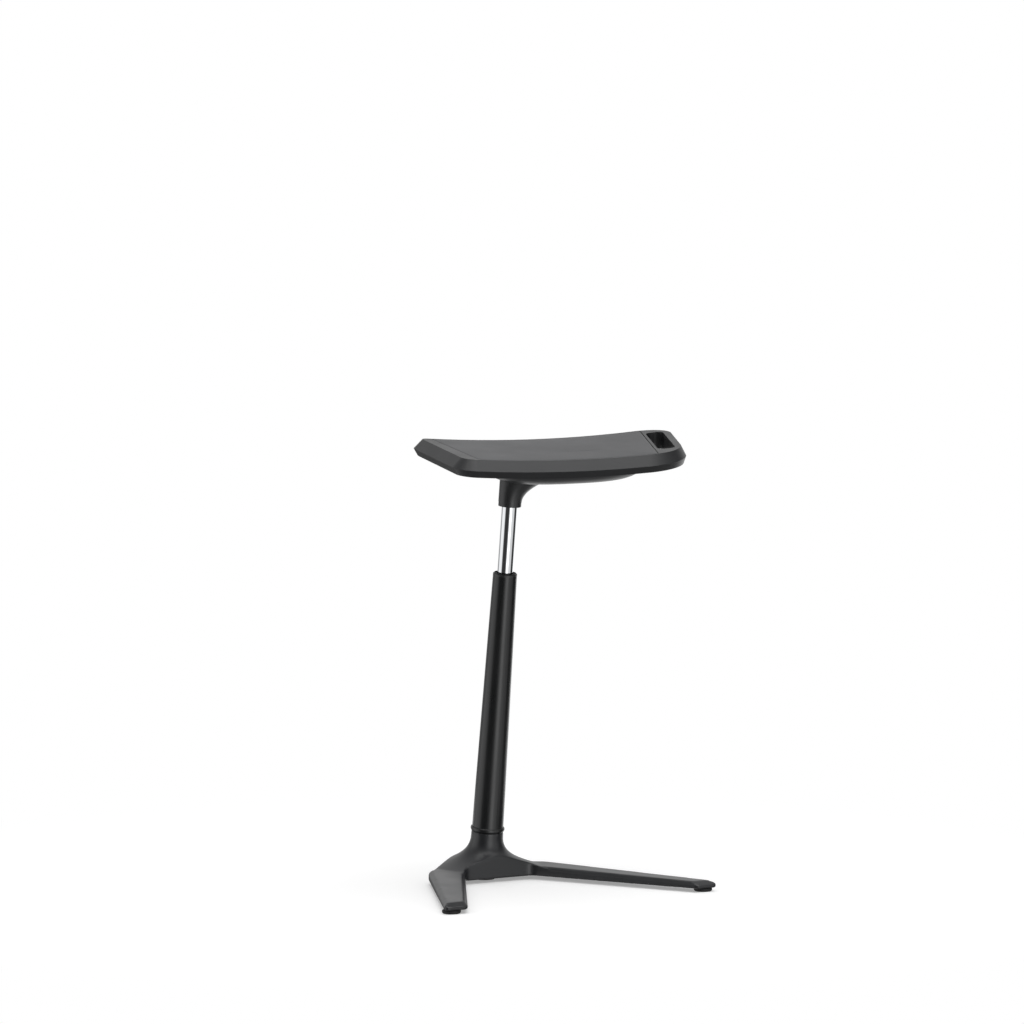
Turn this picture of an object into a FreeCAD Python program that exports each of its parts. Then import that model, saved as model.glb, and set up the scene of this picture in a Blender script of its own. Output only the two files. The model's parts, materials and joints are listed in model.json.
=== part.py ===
"""Perch stool: V-shaped cast foot, leaning column with a height spring, and a saddle-curved seat.

All sizes are millimetres and degrees. The origin is on the floor under the hub, where the
leaning column's axis meets the floor. +X runs along the foot's line of symmetry, towards the
open side between the two legs, and +Z is up.
"""
import FreeCAD
import Part
import math
import os
import Sketcher

from FreeCAD import Placement, Rotation, Vector

doc = FreeCAD.newDocument("perch_stool")
sheet = doc.addObject("Spreadsheet::Sheet", "Sizes")

SIZES = {
    # Whole object
    "column_lean": 7.6,
    "seat_turn": 76.0,
    "floor_gap": 5.0,
    "running_gap": 0.05,
    "seating_gap": 0.1,
    "moving_gap": 0.3,
    # Cast foot
    "plan_inset_side": 0.6,
    "plan_inset_end": 0.9,
    "plan_inset_elbow": 1.1,
    "elbow_outer_x": 9.0,
    "elbow_outer_y": 98.0,
    "elbow_inner_x": 40.5,
    "elbow_inner_y": 55.5,
    "foot_end_x": 277.0,
    "foot_inner_y": 188.0,
    "foot_outer_y": 225.0,
    "heel_x": -36.0,
    "heel_y": 30.0,
    "leg_rise_hub": 15.5,
    "leg_rise_foot": 10.0,
    "leg_wall": 4.5,
    "leg_roof": 4.0,
    "leg_rib": 4.0,
    "leg_rib_pitch": 46.0,
    "leg_edge_bevel": 4.5,
    "nose_run": 12.0,
    "nose_drop": 5.0,
    "elbow_outer_radius": 14.0,
    "elbow_inner_radius": 16.0,
    "heel_radius": 34.0,
    "foot_corner_radius": 6.0,
    "flare_foot_radius": 92.0,
    "flare_foot_level": 18.0,
    "flare_steps": 7.0,
    "flare_power": 3.4,
    "hub_radius": 23.2,
    "hub_top": 72.5,
    "hub_neck": 12.0,
    "spigot_height": 27.5,
    "spigot_radius": 19.4,
    # Glides
    "glide_x": 263.0,
    "glide_y": 206.0,
    "glide_radius": 13.0,
    "glide_stud_radius": 4.0,
    "glide_stud_length": 5.0,
    "glide_boss_radius": 9.6,
    "hub_pad_radius": 16.0,
    "hub_boss_radius": 34.5,
    # Column
    "tube_foot_radius": 22.8,
    "tube_head_radius": 17.3,
    "tube_top": 448.0,
    "tube_wall": 2.5,
    "bead_height": 6.5,
    "bead_land": 0.2,
    "bead_round": 4.1,
    "cap_height": 4.4,
    "cap_bevel": 1.6,
    "bush_length": 68.0,
    "bush_lip": 1.6,
    "plug_bottom": 102.0,
    "plug_height": 16.0,
    "plate_bottom": 128.0,
    "plate_height": 5.0,
    "bolt_radius": 5.0,
    "bolt_head_radius": 8.0,
    "bolt_head_height": 6.0,
    "bolt_head_bottom": 12.0,
    "bolt_washer_radius": 10.0,
    "bolt_washer_height": 1.6,
    # Swivel bearing
    "race_radius": 12.0,
    "race_height": 2.0,
    "ball_radius": 1.5,
    "ball_count": 12.0,
    "ball_circle": 8.8,
    "cage_height": 1.2,
    "cage_half_width": 2.3,
    # Height spring
    "rod_radius": 5.0,
    "rod_end_radius": 4.5,
    "rod_end_drop": 5.0,
    "rod_collar_radius": 8.0,
    "rod_collar_height": 3.0,
    "clip_radius": 7.0,
    "clip_height": 1.2,
    "buffer_radius": 9.0,
    "piston_bottom": 437.0,
    "piston_height": 15.0,
    "seal_section": 1.4,
    "cylinder_radius": 11.2,
    "cylinder_wall": 1.2,
    "cylinder_bottom": 284.0,
    "cylinder_top": 604.0,
    "travel_down": 92.0,
    "stop_gap": 0.5,
    "gland_height": 44.0,
    "valve_height": 24.0,
    "valve_pin_radius": 2.0,
    "valve_pin_stand": 5.0,
    "valve_pin_depth": 12.0,
    # Seat carrier
    "socket_radius": 16.4,
    "socket_bottom": 549.0,
    "socket_top": 596.0,
    "trumpet_start": 6.0,
    "trumpet_top": 592.0,
    "trumpet_spread": 22.0,
    "dish_wall": 3.5,
    "dish_half_length": 122.0,
    "dish_rim": 14.0,
    "dish_half_width": 78.0,
    "dish_bottom": 46.0,
    "dish_power": 2.6,
    "ear_thickness": 4.0,
    "ear_gap": 16.0,
    "ear_cheek": 5.5,
    "ear_foot_drop": 15.0,
    "notch_side_gap": 2.0,
    "notch_drop": 8.0,
    "carrier_screw_radius": 2.5,
    "screw_head_radius": 4.6,
    "screw_head_height": 3.0,
    "screw_well_radius": 6.0,
    "screw_well_depth": 10.0,
    "screw_x": 20.0,
    "screw_y": 45.0,
    "end_screw_x": 92.0,
    "screw_shank": 16.0,
    "screw_slip": 0.2,
    "insert_length": 10.0,
    "insert_stand": 4.2,
    "insert_wall": 2.0,
    # Release lever
    "pivot_offset": 26.0,
    "pivot_level": 606.0,
    "pivot_radius": 2.5,
    "lever_width": 14.0,
    "lever_thickness": 3.0,
    "lever_reach": 104.0,
    "lever_drop": 20.0,
    "grip_width": 46.0,
    "grip_depth": 26.0,
    "grip_thickness": 7.0,
    # Seat
    "seat_offset": 74.0,
    "seat_level": 633.2,
    "seat_pitch_long": 3.8,
    "seat_pitch_cross": 0.96,
    "right_far_half": 189.8,
    "right_near_half": 150.1,
    "left_far_half": 183.9,
    "left_near_half": 175.0,
    "seat_depth_half": 101.5,
    "rise_span": 180.5,
    "rise_far": 8.6,
    "rise_near": 8.5,
    "band_upper": 14.6,
    "band_lean": 12.8,
    "band_lower": 10.0,
    "band_return": 6.0,
    "right_lean_share": 0.55,
    "corner_far_left": 11.2,
    "corner_near_left": 18.8,
    "corner_near_right": 62.4,
    "corner_far_right": 41.1,
    "shell_wall": 4.5,
    "shell_roof": 4.0,
    "shell_rib": 3.0,
    "rib_pitch_across": 40.0,
    "rib_pitch_along": 50.0,
    "tool_reach": 300.0,
    "tool_deep": 90.0,
    "lever_headroom": 3.0,
    "pad_thickness": 8.0,
    "surface_hair": 0.02,
    "pad_inset": 2.2,
    "pad_seam": 0.3,
    "pad_left_x": 161.2,
    "pad_left_skew": 7.6,
    "slot_inner_x": 134.3,
    "slot_width": 26.0,
    "slot_half_length": 70.0,
    "slot_shift": 3.0,
    "slot_skew": 13.3,
    "slot_corner": 10.5,
    "slot_rim": 4.0,
}


class Size:
    """A length or angle that carries its value and the sheet expression it comes from."""

    def __init__(self, value, text):
        self.value = float(value)
        self.text = text

    def _join(self, other, sign, result, swap=False):
        text = other.text if isinstance(other, Size) else repr(float(other))
        parts = (text, self.text) if swap else (self.text, text)
        return Size(result, "(%s %s %s)" % (parts[0], sign, parts[1]))

    def __add__(self, other):
        return self._join(other, "+", self.value + number(other))

    __radd__ = __add__

    def __sub__(self, other):
        return self._join(other, "-", self.value - number(other))

    def __rsub__(self, other):
        return self._join(other, "-", number(other) - self.value, swap=True)

    def __mul__(self, other):
        return self._join(other, "*", self.value * number(other))

    __rmul__ = __mul__

    def __truediv__(self, other):
        return self._join(other, "/", self.value / number(other))

    def __neg__(self):
        return Size(-self.value, "(-1 * %s)" % self.text)


def number(size):
    """Plain number behind a Size or a number."""
    return size.value if isinstance(size, Size) else float(size)


def fill_sheet():
    """Write every driving size to the sheet and return them as Size objects."""
    sizes = {}
    for row, (alias, value) in enumerate(SIZES.items(), start=1):
        sheet.set("A%d" % row, alias)
        sheet.set("B%d" % row, str(value))
        sheet.setAlias("B%d" % row, alias)
        sizes[alias] = Size(value, "Sizes.%s" % alias)
    doc.recompute()
    return type("Sizes", (), sizes)


S = fill_sheet()
parts = []

# Frames

FLOOR = Placement()


def column_frame():
    """Frame whose Z axis is the leaning column's axis."""
    return Placement(Vector(), Rotation(Vector(0, 1, 0), number(S.column_lean)))


def swivel_frame():
    """Column frame turned so that X runs along the seat, towards its hand slot."""
    return column_frame().multiply(Placement(Vector(), Rotation(Vector(0, 0, 1), number(S.seat_turn))))


def seat_frame():
    """Frame at the middle of the seat's top, X along the seat and Y to its wide rear edge."""
    shift = Placement(Vector(number(S.seat_offset), 0, number(S.seat_level)), Rotation())
    along = Placement(Vector(), Rotation(Vector(0, 1, 0), -number(S.seat_pitch_long)))
    across = Placement(Vector(), Rotation(Vector(1, 0, 0), -number(S.seat_pitch_cross)))
    return swivel_frame().multiply(shift).multiply(along).multiply(across)


# Building blocks

def keep(item, label, frame):
    """Label a finished sub-part, place it and list it for export."""
    item.Label = label
    item.Placement = frame
    parts.append(item)
    return item


def new_body(name):
    return doc.addObject("PartDesign::Body", name)


def origin_plane(body, role):
    return next(f for f in body.Origin.OriginFeatures if f.Role == role)


def new_sketch(body, name, role, level=None):
    """Sketch on one of the body's origin planes, lifted to a level along its normal."""
    sketch = body.newObject("Sketcher::SketchObject", name)
    sketch.AttachmentSupport = [(origin_plane(body, role), "")]
    sketch.MapMode = "FlatFace"
    if level is not None:
        sketch.setExpression("AttachmentOffset.Base.z", level.text)
    return sketch


def fix_coordinate(sketch, kind, geo, pos, size):
    """Bind one coordinate of a sketch point to the sheet, or to an axis where it is zero."""
    if not isinstance(size, Size) and size == 0:
        axis = -2 if kind == "DistanceX" else -1
        sketch.addConstraint(Sketcher.Constraint("PointOnObject", geo, pos, axis))
        return
    index = sketch.addConstraint(Sketcher.Constraint(kind, -1, 1, geo, pos, number(size)))
    if isinstance(size, Size):
        sketch.setExpression("Constraints[%d]" % index, size.text)


def closed_profile(sketch, points, arcs=None):
    """Closed outline of straight edges through the points; arcs maps an edge number to (radius, side).

    Side +1 bulges the arc to the left of the edge's direction and -1 to the right.
    """
    arcs = arcs or {}
    count = len(points)
    flat = [Vector(number(x), number(y), 0) for x, y in points]
    ends = []
    for i in range(count):
        a, b = flat[i], flat[(i + 1) % count]
        if i not in arcs:
            geo = sketch.addGeometry(Part.LineSegment(a, b), False)
            ends.append((geo, 1, 2))
            continue
        radius, side = arcs[i]
        chord = b - a
        half = chord.Length / 2
        sag = number(radius) - math.sqrt(number(radius) ** 2 - half ** 2)
        normal = Vector(-chord.y, chord.x, 0).normalize() * side
        arc = Part.Arc(a, (a + b) * 0.5 + normal * sag, b)
        geo = sketch.addGeometry(arc, False)
        first_is_start = sketch.Geometry[geo].StartPoint.distanceToPoint(a) < 1e-6
        ends.append((geo, 1, 2) if first_is_start else (geo, 2, 1))
        index = sketch.addConstraint(Sketcher.Constraint("Radius", geo, number(radius)))
        sketch.setExpression("Constraints[%d]" % index, radius.text)
    for i in range(count):
        geo, _, last = ends[i]
        other, first, _ = ends[(i + 1) % count]
        sketch.addConstraint(Sketcher.Constraint("Coincident", geo, last, other, first))
    for (geo, first, _), (x, y) in zip(ends, points):
        fix_coordinate(sketch, "DistanceX", geo, first, x)
        fix_coordinate(sketch, "DistanceY", geo, first, y)


def circle(sketch, x, y, radius):
    centre = Vector(number(x), number(y), 0)
    geo = sketch.addGeometry(Part.Circle(centre, Vector(0, 0, 1), number(radius)), False)
    index = sketch.addConstraint(Sketcher.Constraint("Radius", geo, number(radius)))
    sketch.setExpression("Constraints[%d]" % index, radius.text)
    fix_coordinate(sketch, "DistanceX", geo, 3, x)
    fix_coordinate(sketch, "DistanceY", geo, 3, y)


def pad(body, sketch, length, name="Pad"):
    feature = body.newObject("PartDesign::Pad", name)
    feature.Profile = sketch
    feature.setExpression("Length", length.text)
    return feature


def pocket(body, sketch, length, reverse=False, both=False, name="Pocket"):
    feature = body.newObject("PartDesign::Pocket", name)
    feature.Profile = sketch
    feature.setExpression("Length", length.text)
    feature.Reversed = reverse
    feature.Midplane = both
    return feature


def round_edges(body, base, edges, radius, kind="Fillet"):
    """Fillet or chamfer on the named edges of a feature."""
    feature = body.newObject("PartDesign::" + kind, kind)
    feature.Base = (base, edges)
    feature.setExpression("Radius" if kind == "Fillet" else "Size", radius.text)
    return feature


def edges_where(shape, test):
    return ["Edge%d" % i for i, edge in enumerate(shape.Edges, start=1) if test(edge)]


def upright_at(x, y):
    """Test for a straight upright edge through a point of the plan."""
    def test(edge):
        a, b = edge.Vertexes[0].Point, edge.Vertexes[-1].Point
        level = abs(a.x - number(x)) < 0.05 and abs(a.y - number(y)) < 0.05
        return level and abs(a.x - b.x) < 0.05 and abs(a.y - b.y) < 0.05 and abs(a.z - b.z) > 1
    return test


def turned(label, profile, frame, arcs=None, angle=360.0):
    """Round piece: a closed profile of (radius, height) turned about the frame's Z axis."""
    body = new_body(label)
    sketch = new_sketch(body, label + "_profile", "XZ_Plane")
    closed_profile(sketch, profile, arcs)
    turn = body.newObject("PartDesign::Revolution", label + "_turn")
    turn.Profile = sketch
    turn.ReferenceAxis = (sketch, ["V_Axis"])
    turn.Angle = angle
    return keep(body, label, frame)


def ring_profile(inner, outer, bottom, top):
    return [(inner, bottom), (outer, bottom), (outer, top), (inner, top)]


# Cast foot

def foot_outline(inset=0.0):
    """Plan corners of the V-shaped foot, anticlockwise from the heel, drawn in by an inset."""
    right = [
        (S.heel_x + inset, -S.heel_y),
        (S.elbow_outer_x + S.plan_inset_side * inset, -S.elbow_outer_y + S.plan_inset_elbow * inset),
        (S.foot_end_x - inset, -S.foot_outer_y + S.plan_inset_end * inset),
        (S.foot_end_x - inset, -S.foot_inner_y - S.plan_inset_end * inset),
        (S.elbow_inner_x - inset, -S.elbow_inner_y - S.plan_inset_side * inset),
    ]
    return right + [(x, -y) for x, y in reversed(right)]


def foot_blank(name, inset, floor, hub_rise, foot_rise, radii):
    """Foot plan raised to a top that falls from the hub to the feet."""
    body = new_body(name)
    plan = new_sketch(body, name + "_plan", "XY_Plane", floor)
    outline = foot_outline(inset)
    closed_profile(plan, outline)
    blank = pad(body, plan, hub_rise, name + "_blank")
    doc.recompute()
    for index, radius in enumerate(radii):
        if radius is None:
            continue
        spots = [outline[index], outline[9 - index]]
        edges = [e for x, y in spots for e in edges_where(body.Tip.Shape, upright_at(x, y))]
        round_edges(body, body.Tip, edges, radius)
        doc.recompute()
    side = new_sketch(body, name + "_side", "XZ_Plane")
    far = S.foot_end_x + S.leg_wall
    start = S.elbow_inner_x - S.leg_wall * 4
    top = floor + hub_rise
    closed_profile(side, [(start, top), (far, floor + foot_rise), (far, top + S.leg_wall),
                          (start, top + S.leg_wall)])
    pocket(body, side, S.foot_outer_y * 3, both=True, name=name + "_fall")
    doc.recompute()
    return body


def build_flare():
    """Trumpet that spreads from the column's foot out over the legs; its rings tip over step by step."""
    body = new_body("foot_flare")
    count = int(number(S.flare_steps))
    sections = []
    for step in range(count):
        along = step / (count - 1.0)
        level = S.flare_foot_level + (S.hub_top - S.flare_foot_level) * along
        spread = (1.0 - along) ** number(S.flare_power)
        radius = S.hub_radius + (S.flare_foot_radius - S.hub_radius) * spread
        sketch = new_sketch(body, "flare_ring_%d" % step, "XY_Plane")
        tip = Rotation(Vector(0, 1, 0), number(S.column_lean) * along)
        spot = column_frame().multVec(Vector(0, 0, number(level)))
        sketch.AttachmentOffset = Placement(spot, tip)
        circle(sketch, 0, 0, radius)
        sections.append(sketch)
    loft = body.newObject("PartDesign::AdditiveLoft", "flare_loft")
    loft.Profile = sections[0]
    loft.Sections = sections[1:]
    doc.recompute()
    return body


def cylinder(name, radius, bottom, top, frame, x=0.0, y=0.0):
    """Part cylinder between two heights of a frame."""
    item = doc.addObject("Part::Cylinder", name)
    item.setExpression("Radius", radius.text)
    item.setExpression("Height", (top - bottom).text)
    item.Placement = frame.multiply(Placement(Vector(number(x), number(y), number(bottom)), Rotation()))
    return item


def combine(kind, name, shapes):
    """Part boolean of several objects: MultiFuse or MultiCommon."""
    item = doc.addObject("Part::" + kind, name)
    item.Shapes = shapes
    return item


def cut(name, base, tool):
    item = doc.addObject("Part::Cut", name)
    item.Base = base
    item.Tool = tool
    return item


def leg_ribs():
    """Cross ribs left standing in the hollow under both legs."""
    ribs = []
    span = number(S.foot_end_x) - number(S.elbow_inner_x)
    count = int(span / number(S.leg_rib_pitch))
    for index in range(1, count + 1):
        rib = doc.addObject("Part::Box", "leg_rib_%d" % index)
        rib.setExpression("Length", S.leg_rib.text)
        rib.setExpression("Width", (S.foot_outer_y * 2).text)
        rib.setExpression("Height", (S.leg_rise_hub * 2).text)
        rib.Placement.Base = Vector(number(S.elbow_inner_x + S.leg_rib_pitch * index),
                                    -number(S.foot_outer_y), 0)
        ribs.append(rib)
    return ribs


def build_foot():
    """One casting: two legs, hub, flare, spigot, ribbed hollow underneath."""
    plan_radii = [S.heel_radius, S.elbow_outer_radius, S.foot_corner_radius,
                  S.foot_corner_radius, S.elbow_inner_radius]
    legs = foot_blank("foot_blank", 0.0, S.floor_gap, S.leg_rise_hub, S.leg_rise_foot, plan_radii)
    top_edges = edges_where(legs.Tip.Shape, lambda e: e.BoundBox.ZMin > number(S.leg_rise_foot))
    round_edges(legs, legs.Tip, top_edges, S.leg_edge_bevel, "Chamfer")
    doc.recompute()
    nose = new_sketch(legs, "nose_side", "XZ_Plane")
    nose_x = S.foot_end_x - S.nose_run
    foot_top = S.floor_gap + S.leg_rise_foot
    above = foot_top + S.leg_rise_hub
    closed_profile(nose, [(nose_x, foot_top + S.moving_gap), (S.foot_end_x, foot_top - S.nose_drop),
                          (S.foot_end_x + S.leg_wall, foot_top - S.nose_drop),
                          (S.foot_end_x + S.leg_wall, above), (nose_x, above)])
    pocket(legs, nose, S.foot_outer_y * 3, both=True, name="nose_fall")
    doc.recompute()
    fence = foot_blank("foot_fence", 0.0, S.floor_gap, S.hub_top, S.hub_top, plan_radii)
    flare = combine("MultiCommon", "flare_trimmed", [build_flare(), fence])
    column = column_frame()
    spigot = cylinder("hub_spigot", S.spigot_radius, S.hub_top - S.hub_neck,
                      S.hub_top + S.spigot_height, column)
    solid = combine("MultiFuse", "foot_solid", [legs, flare, spigot])
    core = foot_blank("foot_core", S.leg_wall, S.floor_gap - S.leg_roof,
                      S.leg_rise_hub, S.leg_rise_foot,
                      [S.heel_radius - S.leg_wall, S.elbow_outer_radius - S.leg_wall, None, None,
                       S.elbow_inner_radius + S.leg_wall])
    hub_boss = cylinder("hub_boss", S.hub_boss_radius, S.floor_gap * 0, S.hub_top, FLOOR)
    bosses = [cylinder("glide_boss_%d" % side, S.glide_boss_radius, S.floor_gap * 0, S.hub_top,
                       FLOOR, S.glide_x, S.glide_y * side) for side in (-1, 1)]
    nose_block = doc.addObject("Part::Box", "nose_block")
    nose_block.setExpression("Length", (S.nose_run + S.leg_wall * 2).text)
    nose_block.setExpression("Width", (S.foot_outer_y * 2).text)
    nose_block.setExpression("Height", (S.leg_rise_hub * 2).text)
    nose_block.Placement.Base = Vector(number(nose_x - S.leg_wall), -number(S.foot_outer_y), 0)
    kept = combine("MultiFuse", "core_kept", leg_ribs() + [hub_boss, nose_block] + bosses)
    hollow = cut("foot_hollow", core, kept)
    bolt_well = cylinder("bolt_well", S.bolt_washer_radius + S.seating_gap * 6, S.floor_gap * -1,
                         S.bolt_head_bottom + S.bolt_head_height + S.bolt_washer_height, column)
    bolt_hole = cylinder("bolt_hole", S.bolt_radius + S.seating_gap * 2, S.floor_gap,
                         S.hub_top + S.spigot_height + S.bolt_radius, column)
    stud_holes = [cylinder("stud_hole_%d" % side, S.glide_stud_radius + S.seating_gap,
                           S.floor_gap * 0, S.floor_gap + S.glide_stud_length + S.seating_gap,
                           FLOOR, S.glide_x, S.glide_y * side) for side in (-1, 1)]
    holes = combine("MultiFuse", "foot_holes", [hollow, bolt_well, bolt_hole] + stud_holes)
    return keep(cut("foot_casting", solid, holes), "foot_casting", FLOOR)


def build_glides():
    """Glides pressed into the feet, and the pad stuck under the hub."""
    bevel = S.seating_gap * 10
    profile = [(0, 0), (S.glide_radius - bevel * 1.5, 0), (S.glide_radius, bevel * 1.5),
               (S.glide_radius, S.floor_gap - bevel), (S.glide_radius - bevel, S.floor_gap),
               (S.glide_stud_radius, S.floor_gap),
               (S.glide_stud_radius, S.floor_gap + S.glide_stud_length),
               (0, S.floor_gap + S.glide_stud_length)]
    for side, label in ((-1, "foot_glide_right"), (1, "foot_glide_left")):
        spot = Placement(Vector(number(S.glide_x), number(S.glide_y) * side, 0), Rotation())
        turned(label, profile, spot)
    pad_profile = [(0, 0), (S.hub_pad_radius - bevel, 0), (S.hub_pad_radius, bevel),
                   (S.hub_pad_radius, S.floor_gap), (0, S.floor_gap)]
    turned("hub_pad", pad_profile, FLOOR)


# Column

def tube_outer(level):
    """Outer radius of the tapering tube at a height on the column's axis."""
    taper = (S.tube_foot_radius - S.tube_head_radius) / (S.tube_top - S.hub_top)
    return S.tube_foot_radius - (level - S.hub_top) * taper


def tube_inner(level):
    return tube_outer(level) - S.tube_wall


def build_column():
    column = column_frame()
    foot, head = S.hub_top, S.tube_top
    turned("column_tube", [(tube_inner(foot), foot), (tube_outer(foot), foot),
                           (tube_outer(head), head), (tube_inner(head), head)], column)
    bead_in = tube_outer(foot) + S.seating_gap
    bead_out = bead_in + S.bead_land
    top = foot + S.bead_height
    turned("column_bead", [(bead_in, foot), (bead_out, foot), (bead_out, top), (bead_in, top)],
           column, {1: (S.bead_round, -1)})
    cap_in = tube_inner(head) + S.seating_gap * 5
    cap_out = tube_outer(head)
    cap_top = head + S.cap_height
    turned("column_cap", [(cap_in, head), (cap_out, head), (cap_out, cap_top - S.cap_bevel),
                          (cap_out - S.cap_bevel, cap_top), (cap_in, cap_top)], column)
    bush_out = tube_inner(head) - S.seating_gap
    bush_in = S.cylinder_radius + S.running_gap
    bush_top = cap_top - S.bush_lip
    bush_foot = head - S.bush_length
    turned("guide_bush", [(bush_in + S.bush_lip / 2, bush_foot), (bush_out, bush_foot),
                          (bush_out, bush_top), (bush_in + S.bush_lip / 2, bush_top),
                          (bush_in, bush_top - S.bush_lip), (bush_in, bush_foot + S.bush_lip)],
           column)
    plug_top = S.plug_bottom + S.plug_height
    turned("column_plug", [(S.bolt_radius + S.seating_gap, S.plug_bottom),
                           (tube_inner(S.plug_bottom) - S.seating_gap, S.plug_bottom),
                           (tube_inner(plug_top) - S.seating_gap, plug_top),
                           (S.bolt_radius + S.seating_gap, plug_top)], column)
    plate_top = S.plate_bottom + S.plate_height
    plate_in = S.rod_end_radius + S.running_gap
    turned("bearing_plate", [(plate_in, S.plate_bottom),
                             (tube_inner(S.plate_bottom) - S.seating_gap, S.plate_bottom),
                             (tube_inner(plate_top) - S.seating_gap, plate_top),
                             (plate_in, plate_top)], column)


def build_column_bolt():
    """Socket-head bolt that pulls the column down onto the casting, with its washer."""
    column = column_frame()
    head_top = S.bolt_head_bottom + S.bolt_head_height
    bolt_end = S.plug_bottom + S.plug_height - S.seating_gap * 10
    drive = S.bolt_radius - S.seating_gap * 8
    drive_top = head_top - S.bolt_head_height / 2
    turned("column_bolt", [(0, drive_top), (drive, drive_top), (drive, S.bolt_head_bottom), (S.bolt_head_radius, S.bolt_head_bottom),
                           (S.bolt_head_radius, head_top), (S.bolt_radius, head_top),
                           (S.bolt_radius, bolt_end), (0, bolt_end)], column)
    turned("bolt_washer", ring_profile(S.bolt_radius + S.seating_gap * 2, S.bolt_washer_radius,
                                       head_top, head_top + S.bolt_washer_height), column)


# Swivel bearing

def bearing_levels():
    """Heights of the lower race's foot, the balls' centres and the upper race's foot."""
    lower = S.plate_bottom + S.plate_height
    balls = lower + S.race_height + S.ball_radius + S.running_gap / 2
    upper = lower + S.race_height + S.ball_radius * 2 + S.running_gap
    return lower, balls, upper


def build_bearing():
    column = column_frame()
    lower, balls, upper = bearing_levels()
    race_in = S.rod_end_radius + S.seating_gap * 5
    turned("race_lower", ring_profile(race_in, S.race_radius, lower, lower + S.race_height), column)
    turned("race_upper", ring_profile(race_in, S.race_radius, upper, upper + S.race_height), column)
    count = int(number(S.ball_count))
    spheres = []
    for index in range(count):
        ball = doc.addObject("Part::Sphere", "ball_%d" % index)
        ball.setExpression("Radius", S.ball_radius.text)
        angle = math.radians(360.0 * index / count)
        reach = number(S.ball_circle)
        ball.Placement.Base = Vector(reach * math.cos(angle), reach * math.sin(angle), number(balls))
        spheres.append(ball)
    group = doc.addObject("Part::Compound", "balls")
    group.Links = spheres
    keep(group, "bearing_balls", column)
    cage = new_body("ball_cage_body")
    ring = new_sketch(cage, "cage_ring", "XY_Plane", balls - S.cage_height / 2)
    circle(ring, 0, 0, S.ball_circle + S.cage_half_width)
    circle(ring, 0, 0, S.ball_circle - S.cage_half_width)
    pad(cage, ring, S.cage_height, "cage_pad")
    seat = new_sketch(cage, "cage_hole", "XY_Plane", balls - S.cage_height)
    circle(seat, S.ball_circle, 0, S.ball_radius + S.seating_gap)
    hole = pocket(cage, seat, S.cage_height * 2, reverse=True, name="cage_pocket")
    doc.recompute()
    pattern = cage.newObject("PartDesign::PolarPattern", "cage_pattern")
    pattern.Originals = [hole]
    pattern.Axis = (origin_plane(cage, "Z_Axis"), [""])
    pattern.Angle = 360.0
    pattern.setExpression("Occurrences", S.ball_count.text)
    cage.Tip = pattern
    keep(cage, "ball_cage", column)


# Height spring

def build_rod():
    """Piston rod with its collar, snap ring, stop sleeve, piston and seal."""
    column = column_frame()
    _, _, upper = bearing_levels()
    collar = upper + S.race_height
    end = S.plate_bottom - S.rod_end_drop
    groove_top = S.plate_bottom - S.running_gap
    groove = groove_top - S.clip_height - S.running_gap * 2
    neck = S.rod_end_radius - S.clip_height
    turned("piston_rod", [(0, end), (S.rod_end_radius, end), (S.rod_end_radius, groove),
                          (neck, groove), (neck, groove_top), (S.rod_end_radius, groove_top),
                          (S.rod_end_radius, collar), (S.rod_collar_radius, collar),
                          (S.rod_collar_radius, collar + S.rod_collar_height),
                          (S.rod_radius, collar + S.rod_collar_height),
                          (S.rod_radius, S.piston_bottom), (0, S.piston_bottom)], column)
    clip = ring_profile(neck + S.running_gap, S.clip_radius, groove_top - S.clip_height - S.running_gap,
                        groove_top - S.running_gap)
    turned("rod_snap_ring", clip, column)
    sleeve_foot = collar + S.rod_collar_height
    sleeve_top = S.cylinder_bottom - S.travel_down - S.stop_gap
    turned("stop_sleeve", ring_profile(S.rod_radius + S.seating_gap, S.buffer_radius,
                                       sleeve_foot, sleeve_top), column)
    bore = S.cylinder_radius - S.cylinder_wall
    piston_out = bore - S.running_gap
    seal_in = piston_out - S.seal_section
    middle = S.piston_bottom + S.piston_height / 2
    low, high = middle - S.seal_section / 2, middle + S.seal_section / 2
    top = S.piston_bottom + S.piston_height
    turned("piston", [(0, S.piston_bottom), (piston_out, S.piston_bottom), (piston_out, low),
                      (seal_in, low), (seal_in, high), (piston_out, high), (piston_out, top),
                      (0, top)], column)
    turned("piston_seal", ring_profile(seal_in, piston_out, low, high), column)


def build_cylinder():
    """Chromed pressure tube with its rod guide, valve block and valve pin."""
    column = column_frame()
    bore = S.cylinder_radius - S.cylinder_wall
    turned("pressure_tube", ring_profile(bore, S.cylinder_radius, S.cylinder_bottom, S.cylinder_top),
           column)
    inside = bore - S.running_gap
    turned("rod_guide", ring_profile(S.rod_radius + S.running_gap, inside, S.cylinder_bottom,
                                     S.cylinder_bottom + S.gland_height), column)
    turned("valve_block", ring_profile(S.valve_pin_radius + S.running_gap, inside,
                                       S.cylinder_top - S.valve_height, S.cylinder_top), column)
    pin_top = S.cylinder_top + S.valve_pin_stand
    tip = S.valve_pin_radius / 2
    turned("valve_pin", [(0, S.cylinder_top - S.valve_pin_depth),
                         (S.valve_pin_radius, S.cylinder_top - S.valve_pin_depth),
                         (S.valve_pin_radius, pin_top - tip / 2), (tip, pin_top), (0, pin_top)], column)


# Seat surfaces

def seat_height(x, y):
    """Height of the saddle-curved top above the seat frame's flat plane."""
    far = (y + number(S.seat_depth_half)) / (2 * number(S.seat_depth_half))
    rise = number(S.rise_near) + (number(S.rise_far) - number(S.rise_near)) * far
    return rise * (x / number(S.rise_span)) ** 2


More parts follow.
